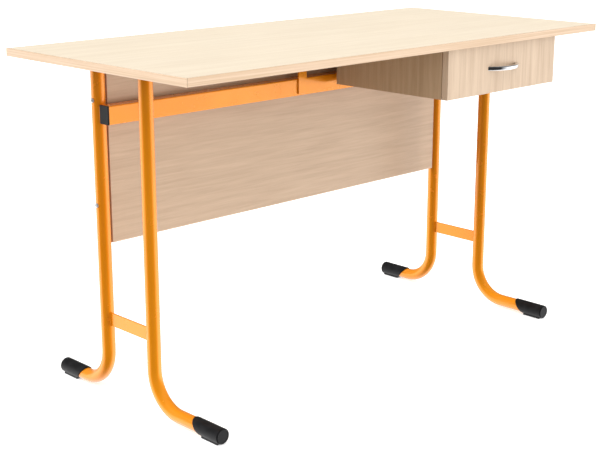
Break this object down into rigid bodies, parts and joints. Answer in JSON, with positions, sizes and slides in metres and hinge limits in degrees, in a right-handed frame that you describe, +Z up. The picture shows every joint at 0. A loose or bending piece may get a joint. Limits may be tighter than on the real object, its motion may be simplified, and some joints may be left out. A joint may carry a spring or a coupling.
{
  "type": "teacher desk",
  "caption": "School teacher's desk: laminate top on bent round-tube end frames, with a cross beam, a modesty panel and a shallow drawer on roller runners.",
  "frame": {"origin": "on the floor, in the middle of the footprint of the whole desk, its drawer handle included", "axes": "+X along the desk towards the drawer unit, +Y away from the sitter towards the modesty panel, +Z up"},
  "size_m": [1.3, 0.613, 0.755],
  "materials": {
    "desktop_laminate": "pale cream wood-grain laminate, satin",
    "edge_band": "pale plastic edge band with fine streaks, satin",
    "panel_laminate": "beech-tone laminate, grain along the panel, semi-gloss",
    "front_laminate": "beech-tone laminate, upright grain, satin",
    "carcass_laminate": "beech-tone laminate, upright grain, satin",
    "drawer_board": "pale laminate, satin",
    "hardboard": "lacquered hardboard",
    "frame_paint": "gloss orange powder coat",
    "black_plastic": "fine satin moulded",
    "chrome": "polished",
    "zinc_screw": "bright zinc plate",
    "runner_epoxy": "white epoxy coat",
    "nylon": "white moulded",
    "beech": "plain turned beech",
    "soft_pad": "soft translucent pad"
  },
  "bodies": {
    "desk": {"beam_plug_left": "black_plastic", "beam_plug_right": "black_plastic", "bracket_screws": "zinc_screw", "bumper_pads": "soft_pad", "cabinet_roller_pins": "zinc_screw", "cabinet_runner_left": "runner_epoxy", "cabinet_runner_right": "runner_epoxy", "cabinet_runner_screws": "zinc_screw", "carcass_back": "hardboard", "carcass_bottom": "carcass_laminate", "carcass_dowels": "beech", "carcass_side_left": "carcass_laminate", "carcass_side_right": "carcass_laminate", "centre_bracket": "frame_paint", "corner_brackets": "zinc_screw", "corner_screws": "zinc_screw", "cross_beam": "frame_paint", "desktop_board": "desktop_laminate", "desktop_screws": "zinc_screw", "edge_band_front": "edge_band", "edge_band_left": "edge_band", "edge_band_rear": "edge_band", "edge_band_right": "edge_band", "foot_cap_front_left": "black_plastic", "foot_cap_front_right": "black_plastic", "foot_cap_rear_left": "black_plastic", "foot_cap_rear_right": "black_plastic", "front_leg_left": "frame_paint", "front_leg_right": "frame_paint", "modesty_panel": "panel_laminate", "panel_edge_band": "edge_band", "panel_screws": "zinc_screw", "rear_leg_left": "frame_paint", "rear_leg_right": "frame_paint", "spacer_bar_left": "frame_paint", "spacer_bar_right": "frame_paint", "top_rail_left": "frame_paint", "top_rail_plugs_left": "black_plastic", "top_rail_plugs_right": "black_plastic", "top_rail_right": "frame_paint"},
    "drawer": {"drawer_back": "drawer_board", "drawer_bottom": "hardboard", "drawer_box_screws": "zinc_screw", "drawer_facia": "front_laminate", "drawer_handle": "chrome", "drawer_inner_front": "drawer_board", "drawer_roller_pins": "zinc_screw", "drawer_runner_left": "runner_epoxy", "drawer_runner_right": "runner_epoxy", "drawer_runner_screws": "zinc_screw", "drawer_side_left": "drawer_board", "drawer_side_right": "drawer_board", "facia_screws": "zinc_screw", "handle_screws": "zinc_screw"},
    "cabinet_roller_left": {"cabinet_roller_left": "nylon"},
    "cabinet_roller_right": {"cabinet_roller_right": "nylon"},
    "drawer_roller_left": {"drawer_roller_left": "nylon"},
    "drawer_roller_right": {"drawer_roller_right": "nylon"}
  },
  "joints": [
    {"name": "drawer_slide", "type": "slide", "parent": "desk", "child": "drawer", "axis": [0, -1, 0], "range_m": [0, 0.23]},
    {"name": "cabinet_roller_left_spin", "type": "hinge", "parent": "desk", "child": "cabinet_roller_left", "pos_m": [0.117, -0.2495, 0.655], "axis": [1, 0, 0], "continuous": true},
    {"name": "drawer_roller_left_spin", "type": "hinge", "parent": "drawer", "child": "drawer_roller_left", "pos_m": [0.119, 0.0165, 0.655], "axis": [1, 0, 0], "continuous": true},
    {"name": "cabinet_roller_right_spin", "type": "hinge", "parent": "desk", "child": "cabinet_roller_right", "pos_m": [0.475, -0.2495, 0.655], "axis": [1, 0, 0], "continuous": true},
    {"name": "drawer_roller_right_spin", "type": "hinge", "parent": "drawer", "child": "drawer_roller_right", "pos_m": [0.473, 0.0165, 0.655], "axis": [1, 0, 0], "continuous": true}
  ],
  "couplings": [
    {"joint": "cabinet_roller_left_spin", "follows": "drawer_slide", "rad_per_m": 117.65},
    {"joint": "drawer_roller_left_spin", "follows": "drawer_slide", "rad_per_m": 117.65},
    {"joint": "cabinet_roller_right_spin", "follows": "drawer_slide", "rad_per_m": 117.65},
    {"joint": "drawer_roller_right_spin", "follows": "drawer_slide", "rad_per_m": 117.65}
  ]
}
